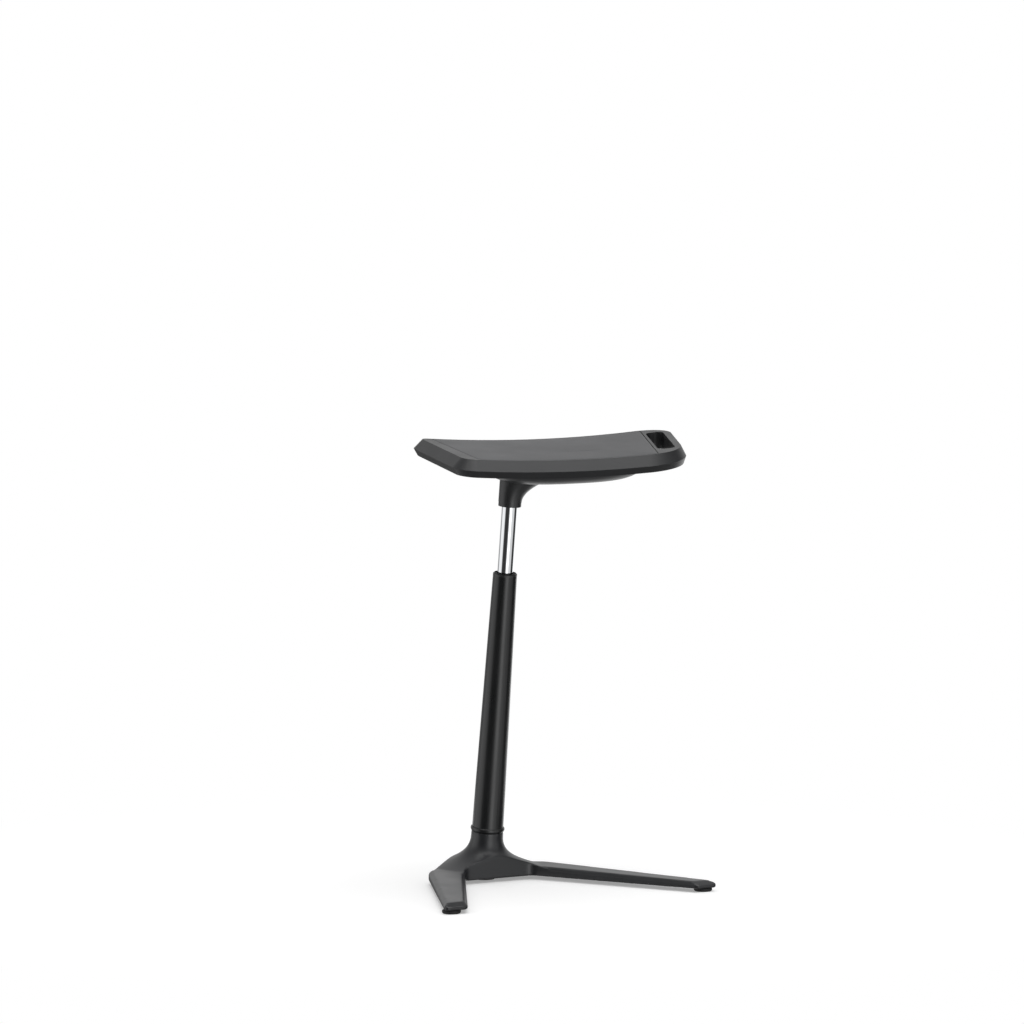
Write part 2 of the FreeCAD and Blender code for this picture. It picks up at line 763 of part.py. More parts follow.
def saddle_tool(offset, upward):
    """Solid that fills everything above, or below, the saddle surface shifted by an offset."""
    reach_x, reach_y = number(S.rise_span) * 1.4, number(S.seat_depth_half) * 1.6
    surface = Part.BezierSurface()
    surface.increase(2, 1)
    for column, y in enumerate((-reach_y, reach_y), start=1):
        edge = seat_height(reach_x, y)
        for row, (x, z) in enumerate(((-reach_x, edge), (0.0, -edge), (reach_x, edge)), start=1):
            surface.setPole(row, column, Vector(x, y, z + offset))
    deep = 4 * number(S.seat_depth_half)
    return surface.toShape().extrude(Vector(0, 0, deep if upward else -deep))


def rounded_corners(corners, radii):
    """Straight and round stretches of a polygon: ('line', a, b) and ('arc', centre, a, b)."""
    stretches = []
    count = len(corners)
    starts, ends = [], []
    arcs = []
    for i in range(count):
        before, here, after = corners[i - 1], corners[i], corners[(i + 1) % count]
        to_before = (before - here).normalize()
        to_after = (after - here).normalize()
        half = to_before.getAngle(to_after) / 2
        tangent = radii[i] / math.tan(half)
        a, b = here + to_before * tangent, here + to_after * tangent
        centre = here + (to_before + to_after).normalize() * (radii[i] / math.sin(half))
        starts.append(a)
        ends.append(b)
        arcs.append(("arc", centre, a, b))
    for i in range(count):
        stretches.append(arcs[i])
        stretches.append(("line", ends[i], starts[(i + 1) % count]))
    return stretches


def stretch_points(stretch, count=9):
    """Evenly spaced plan points along one stretch."""
    if stretch[0] == "line":
        _, a, b = stretch
        return [a + (b - a) * (i / (count - 1.0)) for i in range(count)]
    _, centre, a, b = stretch
    first = math.atan2(a.y - centre.y, a.x - centre.x)
    turn = math.atan2(b.y - centre.y, b.x - centre.x) - first
    turn = (turn + math.pi) % (2 * math.pi) - math.pi
    radius = (a - centre).Length
    angles = [first + turn * i / (count - 1.0) for i in range(count)]
    return [centre + Vector(math.cos(t), math.sin(t), 0) * radius for t in angles]


def saddle_wire(stretches, offset):
    """Closed wire that follows the plan stretches on the shifted saddle surface."""
    edges = []
    for stretch in stretches:
        points = [Vector(p.x, p.y, seat_height(p.x, p.y) + offset) for p in stretch_points(stretch)]
        curve = Part.BSplineCurve()
        curve.interpolate(points)
        edges.append(curve.toShape())
    return Part.Wire(edges)


def flat_wire(stretches, level):
    """The same plan wire, flat at one level."""
    edges = []
    for stretch in stretches:
        points = [Vector(p.x, p.y, level) for p in stretch_points(stretch)]
        curve = Part.BSplineCurve()
        curve.interpolate(points)
        edges.append(curve.toShape())
    return Part.Wire(edges)


def saddle_block(levels, top, bottom):
    """Solid between saddle surfaces whose side passes through each (stretches, offset) level."""
    spare = 3 * number(S.rise_far)
    wires = [flat_wire(levels[0][0], top + spare)]
    wires += [saddle_wire(stretches, offset) for stretches, offset in levels]
    wires.append(flat_wire(levels[-1][0], bottom - spare))
    block = Part.makeLoft(wires, True, True)
    block = block.cut(saddle_tool(top, True))
    return block.cut(saddle_tool(bottom, False)).Solids[0]


def seat_end(near_half, far_half, grow):
    """Distance of a straight end from the seat's middle at each depth, moved out by a length."""
    near, far = number(near_half), number(far_half)
    slope = (far - near) / (2 * number(S.seat_depth_half))
    middle = (far + near) / 2 + grow * math.hypot(1, slope)
    return lambda y: middle + slope * y


def seat_corners(offset, left=None, right=None):
    """Plan corners of the seat grown by an offset: near left, near right, far right, far left."""
    depth = number(S.seat_depth_half) + offset
    left_end = seat_end(S.left_near_half, S.left_far_half, offset)
    left = left or (lambda y: -left_end(y))
    right = right or seat_end(S.right_near_half, S.right_far_half, offset * number(S.right_lean_share))
    return [Vector(left(-depth), -depth, 0), Vector(right(-depth), -depth, 0),
            Vector(right(depth), depth, 0), Vector(left(depth), depth, 0)]


def corner_radii(offset):
    return [number(r) + offset for r in (S.corner_near_left, S.corner_near_right,
                                         S.corner_far_right, S.corner_far_left)]


def seat_outline(offset):
    return rounded_corners(seat_corners(offset), corner_radii(offset))


def slot_side(y, shift=0.0):
    """X of the slot's inner side at a depth, moved along the seat by a shift."""
    lean = number(S.slot_skew) / number(S.slot_half_length)
    return number(S.slot_inner_x) + shift + lean * (y - number(S.slot_shift))


def slot_outline(grow=0.0):
    """Plan stretches of the hand slot, grown outwards."""
    low = number(S.slot_shift) - number(S.slot_half_length) - grow
    high = number(S.slot_shift) + number(S.slot_half_length) + grow
    width = number(S.slot_width)
    corners = [Vector(slot_side(low, -grow), low, 0), Vector(slot_side(low, width + grow), low, 0),
               Vector(slot_side(high, width + grow), high, 0), Vector(slot_side(high, -grow), high, 0)]
    return rounded_corners(corners, [number(S.slot_corner) + grow] * 4)


def pad_outline(grow):
    """Plan stretches of the pad's recess (grow 0) or of the pad itself (a negative grow)."""
    inset = number(S.pad_inset)
    slope = number(S.pad_left_skew) / number(S.seat_depth_half)
    corners = seat_corners(grow - inset,
                           left=lambda y: -(number(S.pad_left_x) + grow + slope * y),
                           right=lambda y: slot_side(y, grow - number(S.slot_rim)))
    radii = [number(S.corner_near_left) * 0.6 + grow, number(S.slot_rim) + grow,
             number(S.slot_rim) + grow, number(S.corner_far_left) * 0.6 + grow]
    return rounded_corners(corners, radii)


def prism(stretches, low, high):
    """Upright solid on a plan outline."""
    return Part.Face(flat_wire(stretches, low)).extrude(Vector(0, 0, high - low))


def keep_shape(label, shape, frame):
    item = doc.addObject("Part::Feature", label)
    item.Shape = shape
    return keep(item, label, frame)


def screw_spots():
    """Plan places of the screws that hold the seat to its carrier."""
    across = number(S.screw_y)
    return [(number(S.screw_x), -across), (number(S.screw_x), across), (number(S.end_screw_x), 0.0)]


def dish_section(level_share, side_share, inset=0.0, lift=0.0):
    """Superellipse wire of the carrier dish at a share of its depth and a share of its size."""
    rim, bottom = number(S.dish_rim), number(S.dish_bottom)
    level = -(rim + (bottom - rim) * level_share) + lift
    half_x = number(S.dish_half_length) * side_share - inset
    half_y = number(S.dish_half_width) * side_share - inset
    power = 2.0 / number(S.dish_power)
    points = []
    count = 32
    for i in range(count):
        t = 2 * math.pi * i / count
        c, s = math.cos(t), math.sin(t)
        points.append(Vector(math.copysign(abs(c) ** power, c) * half_x,
                             math.copysign(abs(s) ** power, s) * half_y, level))
    curve = Part.BSplineCurve()
    curve.interpolate(points, PeriodicFlag=True)
    return Part.Wire(curve.toShape())


DISH_FORM = ((0.0, 1.0), (0.36, 0.965), (0.68, 0.86), (0.9, 0.62), (1.0, 0.3))


def dish_solid(inset=0.0, lift=0.0):
    wires = [dish_section(level, side, inset, lift) for level, side in DISH_FORM]
    return Part.makeLoft(wires, True, False)


def placed(shape, frame):
    """Copy of a shape set into another frame."""
    copy = shape.copy()
    copy.Placement = frame.multiply(shape.Placement)
    return copy


def trumpet():
    """Flare that spreads from the socket along the seat, flush with the socket on its left side."""
    radius = number(S.socket_radius) + number(S.moving_gap)
    foot = number(S.socket_bottom) + number(S.trumpet_start)
    rings = []
    for step in range(6):
        along = step / 5.0
        grow = number(S.trumpet_spread) * along ** 2
        level = foot + (number(S.trumpet_top) - foot) * along
        ring = Part.Ellipse(Vector(grow, 0, level), radius + grow, radius - 0.1 + grow * 0.45)
        rings.append(Part.Wire(ring.toShape()))
    return Part.makeLoft(rings, True, False)


def lever_ears():
    """Two upright ears inside the dish that hold the lever's pivot pin, in the swivel frame."""
    gap, thick = number(S.ear_gap), number(S.ear_thickness)
    offset, level = number(S.pivot_offset), number(S.pivot_level)
    cheek = number(S.ear_cheek)
    foot = number(S.trumpet_top) - number(S.ear_foot_drop)
    ears = []
    for x in (-gap / 2 - thick, gap / 2):
        plate = Part.makeBox(thick, offset + cheek, level - foot, Vector(x, 0, foot))
        round_top = Part.makeCylinder(cheek, thick, Vector(x, offset, level), Vector(1, 0, 0))
        ears += [plate, round_top]
    bore = Part.makeCylinder(number(S.cylinder_radius) * 1.6, level, Vector(0, 0, foot - 1))
    return [ear.cut(bore) for ear in ears]


def screw_seat():
    """Height in the seat frame of the face that the screw heads pull against."""
    return -number(S.dish_bottom) + number(S.screw_well_depth)


def build_carrier():
    """Moulded dish under the seat with its trumpet socket for the pressure tube and lever ears."""
    to_seat = seat_frame().inverse().multiply(swivel_frame())
    wall = number(S.dish_wall)
    bottom, radius = number(S.socket_bottom), number(S.socket_radius)
    outer, inner = dish_solid(), dish_solid(wall, wall)
    socket = placed(Part.makeCylinder(radius, number(S.socket_top) - bottom, Vector(0, 0, bottom)), to_seat)
    outside = outer.fuse([socket, placed(trumpet(), to_seat)])
    body = outside.cut(inner)
    ears = [placed(ear, to_seat).common(outer) for ear in lever_ears()]
    proud = [placed(ear, to_seat) for ear in lever_ears()]
    reach, deep = number(S.tool_reach), number(S.tool_deep)
    rim = Part.makeBox(2 * reach, 2 * reach, deep, Vector(-reach, -reach, -number(S.dish_rim) - wall / 3))
    ears += [ear.common(rim) for ear in proud]
    wells = []
    for x, y in screw_spots():
        well = Part.makeCylinder(number(S.screw_well_radius) + wall, number(S.screw_well_depth) + wall,
                                 Vector(x, y, -number(S.dish_bottom)))
        wells.append(well.common(outer))
    body = body.fuse([socket] + ears + wells)
    bore = Part.makeCylinder(number(S.cylinder_radius) + number(S.seating_gap), deep * 2,
                             Vector(0, 0, bottom - wall))
    pin_reach = number(S.ear_gap) / 2 + number(S.ear_thickness) * 2
    pin_hole = Part.makeCylinder(number(S.pivot_radius) + number(S.running_gap), pin_reach * 2,
                                 Vector(-pin_reach, number(S.pivot_offset), number(S.pivot_level)),
                                 Vector(1, 0, 0))
    width = number(S.lever_width) + 2 * number(S.notch_side_gap)
    drop = number(S.notch_drop)
    notch = Part.makeBox(width, deep, deep, Vector(-width / 2, number(S.pivot_offset) + drop,
                                                   number(S.pivot_level) - number(S.lever_drop) - drop))
    tools = [placed(tool, to_seat) for tool in (bore, pin_hole, notch)]
    seat = screw_seat()
    for x, y in screw_spots():
        tools.append(Part.makeCylinder(number(S.screw_well_radius), deep, Vector(x, y, seat - deep)))
        tools.append(Part.makeCylinder(number(S.carrier_screw_radius) + number(S.screw_slip), deep,
                                       Vector(x, y, seat - wall)))
    body = body.cut(tools)
    keep_shape("seat_carrier", max(body.Solids, key=lambda s: s.Volume), seat_frame())


def build_screws():
    """Screws and brass inserts that hold the seat on its carrier."""
    seat = screw_seat()
    screws, inserts = [], []
    for x, y in screw_spots():
        head = Part.makeCylinder(number(S.screw_head_radius), number(S.screw_head_height),
                                 Vector(x, y, seat - number(S.screw_head_height)))
        drive = Part.makeCylinder(number(S.carrier_screw_radius) / 2, number(S.screw_head_height) / 2,
                                  Vector(x, y, seat - number(S.screw_head_height)))
        shank = Part.makeCylinder(number(S.carrier_screw_radius), number(S.screw_shank), Vector(x, y, seat))
        screws.append(head.cut(drive).fuse(shank).removeSplitter())
        foot = seat + number(S.insert_stand)
        insert = Part.makeCylinder(number(S.screw_head_radius), number(S.insert_length), Vector(x, y, foot))
        thread = Part.makeCylinder(number(S.carrier_screw_radius) + number(S.running_gap),
                                   number(S.insert_length), Vector(x, y, foot))
        inserts.append(insert.cut(thread))
    keep_shape("carrier_screws", Part.makeCompound(screws), seat_frame())
    keep_shape("threaded_inserts", Part.makeCompound(inserts), seat_frame())


def lever_room():
    """Room above the release lever and its ears, in the seat frame."""
    room = number(S.lever_headroom)
    half = number(S.ear_gap) / 2 + number(S.ear_thickness) + room
    front = -number(S.lever_thickness) * 2 - room
    back = number(S.pivot_offset) + number(S.ear_cheek) + room
    foot = number(S.socket_top)
    top = number(S.cylinder_top) + number(S.valve_pin_stand) + number(S.lever_thickness) + room
    box = Part.makeBox(2 * half, back - front, top - foot, Vector(-half, front, foot))
    return placed(box, seat_frame().inverse().multiply(swivel_frame()))


def build_shell():
    """Seat shell: leaning bands all round, hand slot, pad recess, ribbed hollow underneath."""
    upper, lower = number(S.band_upper), number(S.band_lower)
    lean, back = number(S.band_lean), number(S.band_return)
    hair = number(S.surface_hair)
    block = saddle_block([(seat_outline(0.0), 0.0), (seat_outline(lean), -upper),
                          (seat_outline(lean - back), -upper - lower)], -hair, -upper - lower + hair)
    reach, deep = number(S.tool_reach), number(S.tool_deep)
    recess = prism(pad_outline(0.0), -deep, deep).cut(saddle_tool(-number(S.pad_thickness), False))
    roof = number(S.pad_thickness) + number(S.shell_roof)
    wall = number(S.shell_wall)
    grow = lean - back - wall
    cavity_outline = rounded_corners(
        seat_corners(grow, right=lambda y: slot_side(y, -wall)),
        [number(S.corner_near_left) + grow, number(S.slot_corner), number(S.slot_corner),
         number(S.corner_far_left) + grow])
    cavity = prism(cavity_outline, -deep, deep).cut(saddle_tool(-roof, True))
    ribs = []
    rib = number(S.shell_rib)
    rib_foot = number(S.moving_gap) - number(S.dish_rim)
    for step in (-1.5, -0.5, 0.5, 1.5):
        spot = Vector(-reach, step * number(S.rib_pitch_across) - rib / 2, rib_foot)
        ribs.append(Part.makeBox(2 * reach, rib, deep, spot))
    for step in (-2.8, -2.0, -1.0, 1.0, 2.0):
        spot = Vector(step * number(S.rib_pitch_along) - rib / 2, -reach, rib_foot)
        ribs.append(Part.makeBox(rib, 2 * reach, deep, spot))
    foot = screw_seat() + number(S.insert_stand)
    head, length = number(S.screw_head_radius), number(S.insert_length)
    shank = number(S.carrier_screw_radius) + number(S.screw_slip)
    bores = []
    for x, y in screw_spots():
        ribs.append(Part.makeCylinder(head + number(S.insert_wall), deep, Vector(x, y, foot)))
        bores.append(Part.makeCylinder(head + number(S.running_gap), length, Vector(x, y, foot)))
        bores.append(Part.makeCylinder(shank, number(S.screw_shank), Vector(x, y, screw_seat())))
    cavity = cavity.cut(ribs)
    shell = block.cut([recess, prism(slot_outline(), -deep, deep), cavity, lever_room()] + bores)
    keep_shape("seat_shell", max(shell.Solids, key=lambda s: s.Volume), seat_frame())


def build_pad():
    """Soft pad let into the top of the shell."""
    deep = number(S.tool_deep)
    blank = prism(pad_outline(-number(S.pad_seam)), -deep, deep)
    pad_shape = blank.cut(saddle_tool(0.0, True)).cut(saddle_tool(-number(S.pad_thickness), False))
    keep_shape("seat_pad", pad_shape.Solids[0], seat_frame())


def build_lever():
    """Release lever, its pivot pin and the grip on its end."""
    frame = swivel_frame()
    body = new_body("release_lever")
    side = new_sketch(body, "lever_side", "YZ_Plane")
    pin_top = S.cylinder_top + S.valve_pin_stand + S.moving_gap
    thick = S.lever_thickness
    grip_level = S.pivot_level - S.lever_drop - thick
    knee = S.pivot_offset + S.lever_drop * 2
    closed_profile(side, [(-S.lever_thickness * 2, pin_top), (S.pivot_offset - thick * 2, pin_top),
                          (S.pivot_offset - thick * 2, S.pivot_level - thick),
                          (S.pivot_offset + thick, S.pivot_level - thick * 2),
                          (knee, grip_level), (S.lever_reach - thick, grip_level),
                          (S.lever_reach - thick, grip_level + thick), (knee + thick, grip_level + thick),
                          (S.pivot_offset + thick * 2, S.pivot_level),
                          (S.pivot_offset + thick, pin_top + thick),
                          (-S.lever_thickness * 2, pin_top + thick)])
    arm = body.newObject("PartDesign::Pad", "lever_arm")
    arm.Profile = side
    arm.Midplane = True
    arm.setExpression("Length", S.lever_width.text)
    doc.recompute()
    hole = new_sketch(body, "lever_hole", "YZ_Plane")
    circle(hole, S.pivot_offset, S.pivot_level, S.pivot_radius + S.running_gap)
    pocket(body, hole, S.lever_width * 2, both=True, name="lever_bore")
    keep(body, "release_lever", frame)
    pin_frame = frame.multiply(Placement(Vector(0, number(S.pivot_offset), number(S.pivot_level)),
                                         Rotation(Vector(0, 1, 0), 90)))
    half = S.ear_gap / 2 + S.ear_thickness
    head = S.pivot_radius + S.running_gap * 20
    turned("lever_pivot_pin", [(0, -half - 1.5), (head, -half - 1.5), (head, -half - 0.1),
                               (S.pivot_radius, -half - 0.1), (S.pivot_radius, half + 0.5),
                               (0, half + 0.5)], pin_frame)
    grip = new_body("lever_grip_body")
    plan = new_sketch(grip, "grip_plan", "XY_Plane", grip_level - (S.grip_thickness - thick) / 2)
    low, high = S.lever_reach + thick - S.grip_depth, S.lever_reach + thick
    closed_profile(plan, [(-S.grip_width / 2, low), (S.grip_width / 2, low),
                          (S.grip_width / 2, high), (-S.grip_width / 2, high)])
    pad(grip, plan, S.grip_thickness, "grip_pad")
    doc.recompute()
    uprights = edges_where(grip.Tip.Shape, lambda e: abs(e.Vertexes[0].Z - e.Vertexes[-1].Z) > 1)
    round_edges(grip, grip.Tip, uprights, S.grip_thickness)
    doc.recompute()
    rims = edges_where(grip.Tip.Shape, lambda e: e.BoundBox.ZLength < 0.01)
    round_edges(grip, grip.Tip, rims, S.grip_thickness / 3)
    doc.recompute()
    tongue = new_sketch(grip, "grip_tongue", "XY_Plane", grip_level - S.seating_gap)
    closed_profile(tongue, [(-S.lever_width / 2 - S.seating_gap, low - thick),
                            (S.lever_width / 2 + S.seating_gap, low - thick),
                            (S.lever_width / 2 + S.seating_gap, S.lever_reach - thick + S.seating_gap),
                            (-S.lever_width / 2 - S.seating_gap, S.lever_reach - thick + S.seating_gap)])
    pocket(grip, tongue, thick + S.seating_gap * 2, reverse=True, name="grip_slot")
    keep(grip, "lever_grip", frame)


def check_all():
    """Stop if any object failed or any sub-part's shape is missing or broken."""
    for item in doc.Objects:
        if "Invalid" in item.State or "Error" in item.State:
            raise RuntimeError("%s failed: %s" % (item.Name, item.State))
    for item in parts:
        if item.Shape.isNull() or not item.Shape.isValid():
            raise RuntimeError("%s has no valid shape" % item.Label)


def main():
    build_foot()
    build_glides()
    build_column()
    build_column_bolt()
    build_bearing()
    build_rod()
    build_cylinder()
    build_carrier()
    build_screws()
    build_shell()
    build_pad()
    build_lever()
    doc.recompute()
    check_all()
    os.makedirs("parts", exist_ok=True)
    for item in parts:
        item.Shape.exportStep("parts/%s.step" % item.Label)
        print(item.Label, len(item.Shape.Solids), round(item.Shape.Volume / 1000, 2))


main()
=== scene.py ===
"""Perch stool: finishes, broken and blended edges, soft seat pad, studio room and camera."""

import json
import logging
import math
from dataclasses import dataclass, field
from enum import Enum
from typing import Sequence

import bmesh
import bpy
from mathutils import Matrix, Vector

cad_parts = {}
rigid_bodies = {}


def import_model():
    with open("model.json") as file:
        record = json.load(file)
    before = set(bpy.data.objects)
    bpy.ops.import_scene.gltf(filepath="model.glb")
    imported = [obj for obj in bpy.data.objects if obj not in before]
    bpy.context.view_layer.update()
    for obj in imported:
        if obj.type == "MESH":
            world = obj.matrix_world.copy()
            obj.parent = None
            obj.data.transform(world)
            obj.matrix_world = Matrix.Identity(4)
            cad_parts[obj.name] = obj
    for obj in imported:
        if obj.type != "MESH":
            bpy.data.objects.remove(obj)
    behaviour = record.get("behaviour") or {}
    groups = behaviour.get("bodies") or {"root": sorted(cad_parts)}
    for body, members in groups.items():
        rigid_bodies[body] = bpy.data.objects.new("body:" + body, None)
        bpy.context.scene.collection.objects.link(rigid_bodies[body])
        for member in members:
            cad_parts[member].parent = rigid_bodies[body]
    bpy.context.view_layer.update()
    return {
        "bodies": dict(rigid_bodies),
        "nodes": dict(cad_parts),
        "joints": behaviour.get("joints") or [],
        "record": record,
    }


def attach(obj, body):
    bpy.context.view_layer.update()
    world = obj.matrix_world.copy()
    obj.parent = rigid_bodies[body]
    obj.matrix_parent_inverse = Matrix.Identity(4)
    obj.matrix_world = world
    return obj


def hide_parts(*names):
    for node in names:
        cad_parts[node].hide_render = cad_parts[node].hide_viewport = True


LOG = logging.getLogger("perch_stool")
MM = 0.001
Colour = tuple[float, float, float, float]
Stops = tuple[tuple[float, float], ...]
Span = tuple[float, float]

# Socket numbers of the colour mix node, whose sockets for other kinds of value share their names
MIX_SHARE, MIX_FIRST, MIX_SECOND, MIX_RESULT = 0, 6, 7, 2


class Surface(Enum):
    """How a surface was made, which decides the relief drawn on it."""

    POWDER_COATED = "powder coated"
    MOULDED = "moulded"
    SKINNED = "skinned foam"
    PLATED = "plated"
    TURNED = "turned"


def linear(code: str) -> Colour:
    """Turn an sRGB hex colour to linear light.

    Args:
        code: Colour such as "#2a2b2c".

    Returns:
        Red, green, blue and an alpha of one, linear.
    """
    values = [int(code[i:i + 2], 16) / 255.0 for i in (1, 3, 5)]
    steps = [v / 12.92 if v <= 0.04045 else ((v + 0.055) / 1.055) ** 2.4 for v in values]
    return (steps[0], steps[1], steps[2], 1.0)


def grey(level: float) -> Colour:
    """Neutral colour of one level."""
    return (level, level, level, 1.0)


def empty_tree(owner: bpy.types.ID) -> bpy.types.NodeTree:
    """Give a material or a world an empty node tree.

    Args:
        owner: The material or world.

    Returns:
        Its node tree.
    """
    owner.use_nodes = True
    owner.node_tree.nodes.clear()
    return owner.node_tree


def add_node(tree: bpy.types.NodeTree, kind: str, settings: dict | None = None,
             inputs: dict | None = None) -> bpy.types.Node:
    """Add one node, set its attributes, and set or link its inputs.

    Args:
        tree: Node tree that gets the node.
        kind: Node type name.
        settings: Attribute names and their values.
        inputs: Input names or numbers, each with a value or with the socket to link.

    Returns:
        The new node.
    """
    node = tree.nodes.new(kind)
    for name, value in (settings or {}).items():
        setattr(node, name, value)
    for name, value in (inputs or {}).items():
        if isinstance(value, bpy.types.NodeSocket):
            tree.links.new(value, node.inputs[name])
        else:
            node.inputs[name].default_value = value
    return node


def fill_ramp(node: bpy.types.Node, stops: Sequence[tuple[float, Colour]]) -> None:
    """Give a colour ramp its stops.

    Args:
        node: Colour ramp node.
        stops: Place along the ramp and the colour there.
    """
    elements = node.color_ramp.elements
    while len(elements) > 1:
        elements.remove(elements[-1])
    elements[0].position, elements[0].color = stops[0]
    for place, colour in stops[1:]:
        elements.new(place).color = colour


# Colour and roughness drift over about a hand's width
DRIFT_MM = 60.0
DRIFT_DETAIL = 3.0
DRIFT_CONTRAST = 0.55
# Where the drift's noise has the body colour, and where the worn one
COLOUR_STOPS = (0.32, 0.72)
ROUGHNESS_STOPS = (0.3, 0.7)
ROUGHNESS_DRIFT = 0.03
PEBBLE_SOFTNESS = 0.6
PEEL_DETAIL = 2.0
# The wave texture repeats about three times per unit of scale, so a tenth of the grain's scale
# draws the lathe marks some three grains wide
LATHE_SHARE = 10.0
LATHE_WANDER = 0.6
BUMP_STRENGTH = 0.5


@dataclass(frozen=True)
class Finish:
    """One finish: what the real surface is, and the relief and wear drawn on it."""

    name: str
    made: Surface
    body: str
    worn: str
    roughness: float
    ior: float = 1.5
    metallic: float = 0.0
    grain_mm: float = 0.8
    relief_mm: float = 0.02
    sheen: float = 0.0

    def material(self) -> bpy.types.Material:
        """Build the procedural material.

        Returns:
            The material, ready to assign.
        """
        material = bpy.data.materials.new(self.name)
        tree = empty_tree(material)
        place = add_node(tree, "ShaderNodeTexCoord").outputs["Object"]
        shader = add_node(tree, "ShaderNodeBsdfPrincipled", inputs={
            "Metallic": self.metallic, "IOR": self.ior, "Sheen Weight": self.sheen})
        self._paint(tree, place, shader)
        self._relief(tree, place, shader)
        add_node(tree, "ShaderNodeOutputMaterial", inputs={"Surface": shader.outputs["BSDF"]})
        return material

    def _paint(self, tree: bpy.types.NodeTree, place: bpy.types.NodeSocket,
               shader: bpy.types.Node) -> None:
        """Colour that drifts a little over a hand's width, and roughness that drifts with it.

        Args:
            tree: The material's nodes.
            place: Object coordinates.
            shader: The surface shader.
        """
        broad = add_node(tree, "ShaderNodeTexNoise", inputs={
            "Vector": place, "Scale": 1.0 / (DRIFT_MM * MM), "Detail": DRIFT_DETAIL,
            "Roughness": DRIFT_CONTRAST})
        colour = add_node(tree, "ShaderNodeValToRGB", inputs={"Fac": broad.outputs["Fac"]})
        fill_ramp(colour, list(zip(COLOUR_STOPS, (linear(self.body), linear(self.worn)))))
        tree.links.new(colour.outputs["Color"], shader.inputs["Base Color"])
        rough = add_node(tree, "ShaderNodeMapRange", inputs={
            "Value": broad.outputs["Fac"],
            "From Min": ROUGHNESS_STOPS[0], "From Max": ROUGHNESS_STOPS[1],
            "To Min": self.roughness - ROUGHNESS_DRIFT,
            "To Max": self.roughness + ROUGHNESS_DRIFT})
        tree.links.new(rough.outputs["Result"], shader.inputs["Roughness"])

    def _relief(self, tree: bpy.types.NodeTree, place: bpy.types.NodeSocket,
                shader: bpy.types.Node) -> None:
        """Fine relief of the way the surface was made, as bump.

        Args:
            tree: The material's nodes.
            place: Object coordinates.
            shader: The surface shader.
        """
        pitch = 1.0 / (self.grain_mm * MM)
        if self.made in (Surface.SKINNED, Surface.MOULDED):
            grain = add_node(tree, "ShaderNodeTexVoronoi", {"feature": "SMOOTH_F1"}, {
                "Vector": place, "Scale": pitch, "Smoothness": PEBBLE_SOFTNESS})
            height = grain.outputs["Distance"]
        elif self.made is Surface.TURNED:
            # Tool marks of a lathe run round the piece, so they repeat along its length only
            bands = {"wave_type": "BANDS", "bands_direction": "Z"}
            marks = add_node(tree, "ShaderNodeTexWave", bands, {
                "Vector": place, "Scale": pitch / LATHE_SHARE, "Distortion": LATHE_WANDER})
            height = marks.outputs["Fac"]
        else:
            peel = add_node(tree, "ShaderNodeTexNoise", inputs={
                "Vector": place, "Scale": pitch, "Detail": PEEL_DETAIL})
            height = peel.outputs["Fac"]
        bump = add_node(tree, "ShaderNodeBump", inputs={
            "Strength": BUMP_STRENGTH, "Distance": self.relief_mm * MM, "Height": height})
        tree.links.new(bump.outputs["Normal"], shader.inputs["Normal"])


# The moulded grains below are a few tenths of a millimetre on the real pieces, and the tool
# marks finer still. Both are too fine to show in the render, so they are drawn coarser.

# Polyester powder coat on cast aluminium: satin black whose faint orange peel, one or two
# millimetres wide, makes the reflections waver
CAST_BLACK = Finish("satin_powder_coat_cast", Surface.POWDER_COATED, "#222325", "#26272a", 0.36,
                    grain_mm=1.6, relief_mm=0.03)
# The same coat on drawn steel tube, which is smoother and draws a crisper streak of light
TUBE_BLACK = Finish("satin_powder_coat_tube", Surface.POWDER_COATED, "#18191a", "#1b1c1d", 0.30,
                    grain_mm=1.2, relief_mm=0.015)
# Glass-filled nylon with a spark-eroded grain, which dulls the reflections
NYLON_BLACK = Finish("grained_nylon", Surface.MOULDED, "#252627", "#292a2b", 0.40, ior=1.53,
                     grain_mm=0.9, relief_mm=0.03)
# Polypropylene of the seat shell, whose finer grain leaves a soft even shade
SHELL_BLACK = Finish("grained_polypropylene", Surface.MOULDED, "#1a1b1d", "#1e1f21", 0.42,
                     ior=1.49, grain_mm=0.8, relief_mm=0.025)
# Integral-skin polyurethane foam: matt skin with a leather-like pebble, greyer at a flat angle
PAD_BLACK = Finish("integral_skin_foam", Surface.SKINNED, "#2c2d30", "#313234", 0.48, ior=1.45,
                   grain_mm=1.3, relief_mm=0.05, sheen=0.05)
# Moulded rubber of the glides: dull black with hardly a highlight
RUBBER_BLACK = Finish("moulded_rubber", Surface.MOULDED, "#161617", "#1b1b1c", 0.72, ior=1.52,
                      grain_mm=0.7, relief_mm=0.03)
# Acetal of the guide bush and the cage: waxy black with a low sheen
ACETAL_BLACK = Finish("moulded_acetal", Surface.MOULDED, "#1d1d1e", "#222223", 0.42, ior=1.48,
                      grain_mm=0.5, relief_mm=0.01)
# Hard chrome on the ground spring tube: mirror with a trace of grinding
CHROME = Finish("chrome_plate", Surface.PLATED, "#dcdee0", "#e4e6e8", 0.07, metallic=1.0,
                grain_mm=3.0, relief_mm=0.001)
# Turned steel of the bolt, races and rod: bright, with rings of tool marks
STEEL = Finish("turned_steel", Surface.TURNED, "#a9abad", "#b5b7b9", 0.28, metallic=1.0,
               grain_mm=0.4, relief_mm=0.004)
# Turned brass of the inserts and the valve block: yellow, with rings of tool marks
BRASS = Finish("turned_brass", Surface.TURNED, "#b59a5a", "#c2a668", 0.30, metallic=1.0,
               grain_mm=0.4, relief_mm=0.004)
